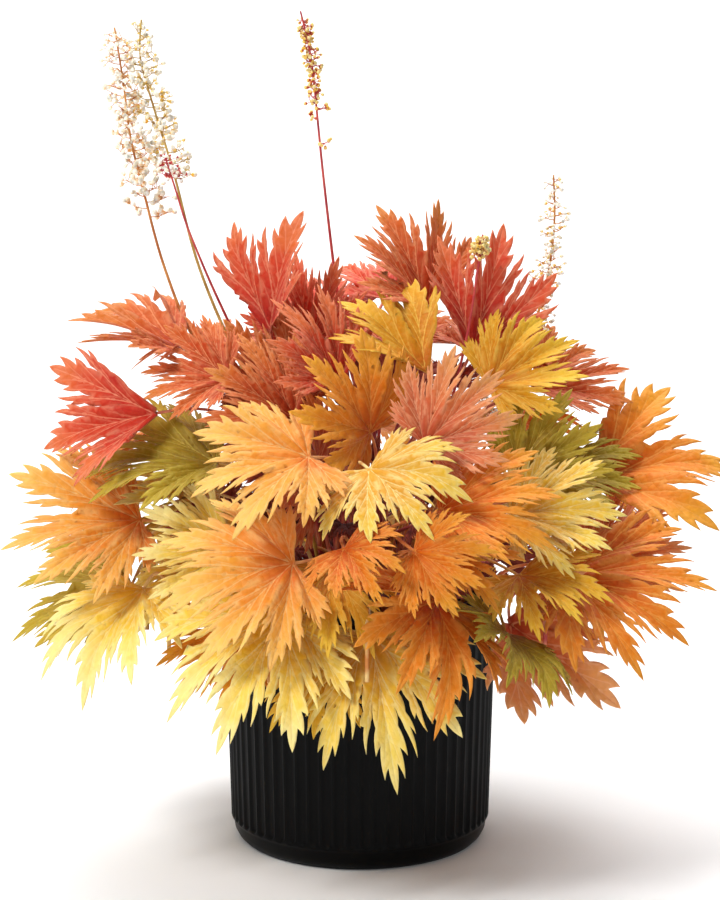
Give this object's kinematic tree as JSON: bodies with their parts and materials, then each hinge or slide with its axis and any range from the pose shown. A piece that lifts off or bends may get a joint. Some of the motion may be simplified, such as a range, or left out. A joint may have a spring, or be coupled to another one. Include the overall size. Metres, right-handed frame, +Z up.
{
  "type": "potted heuchera plant",
  "caption": "Potted heuchera: a mound of fan-shaped, deeply cut red, orange and yellow leaves on long petioles, with slender flower stalks, in a black ribbed round pot.",
  "frame": {"origin": "centre of the pot's flat underside", "axes": "+Z up along the pot's axis, -Y towards the side with the fullest foliage, which is the front"},
  "size_m": [0.4602, 0.3951, 0.5261],
  "materials": {
    "pot": "satin black plastic, moulded with narrow upright ribs",
    "soil": "dark damp potting mix of bark and peat",
    "crown": "rough brown woody crown",
    "stalk_tan": "thin tan flower stalk with soft hairs",
    "stalk_red": "thin wine-red flower stalk with soft hairs",
    "leaf_red": "coral red leaf, soft matt, veins paler",
    "leaf_rust": "rust orange leaf, soft matt, veins paler",
    "leaf_salmon": "salmon pink leaf underside, soft matt",
    "leaf_orange": "orange leaf, yellower at the margin",
    "leaf_apricot": "apricot leaf, orange at the hub and pale yellow at the margin",
    "leaf_gold": "golden leaf, soft matt",
    "leaf_yellow": "yellow leaf with cream tips",
    "leaf_olive": "olive gold leaf, soft matt"
  },
  "bodies": {
    "root": {"pot": "pot", "soil": "soil", "crown": "crown", "stalk_01": "stalk_tan", "stalk_02": "stalk_tan", "stalk_03": "stalk_red", "stalk_04": "stalk_red", "stalk_05": "stalk_red", "stalk_06": "stalk_tan", "leaf_01": "leaf_apricot", "leaf_02": "leaf_apricot", "leaf_03": "leaf_orange", "leaf_04": "leaf_yellow", "leaf_05": "leaf_yellow", "leaf_06": "leaf_apricot", "leaf_07": "leaf_orange", "leaf_08": "leaf_orange", "leaf_09": "leaf_red", "leaf_10": "leaf_red", "leaf_11": "leaf_rust", "leaf_12": "leaf_red", "leaf_13": "leaf_rust", "leaf_14": "leaf_salmon", "leaf_15": "leaf_orange", "leaf_16": "leaf_yellow", "leaf_17": "leaf_yellow", "leaf_18": "leaf_gold", "leaf_19": "leaf_orange", "leaf_20": "leaf_orange", "leaf_21": "leaf_gold", "leaf_22": "leaf_orange", "leaf_23": "leaf_red", "leaf_24": "leaf_rust", "leaf_25": "leaf_gold", "leaf_26": "leaf_olive", "leaf_27": "leaf_yellow", "leaf_28": "leaf_yellow", "leaf_29": "leaf_salmon", "leaf_30": "leaf_olive", "leaf_31": "leaf_olive", "leaf_32": "leaf_orange", "leaf_33": "leaf_yellow", "leaf_34": "leaf_olive", "leaf_35": "leaf_gold", "leaf_36": "leaf_orange", "leaf_37": "leaf_salmon", "leaf_38": "leaf_rust", "leaf_39": "leaf_olive", "leaf_40": "leaf_rust", "leaf_41": "leaf_yellow", "leaf_42": "leaf_red", "leaf_43": "leaf_gold", "leaf_44": "leaf_red", "leaf_45": "leaf_rust", "leaf_46": "leaf_rust", "leaf_47": "leaf_orange", "leaf_48": "leaf_orange", "leaf_49": "leaf_gold", "leaf_50": "leaf_gold", "leaf_51": "leaf_gold"}
  },
  "joints": []
}
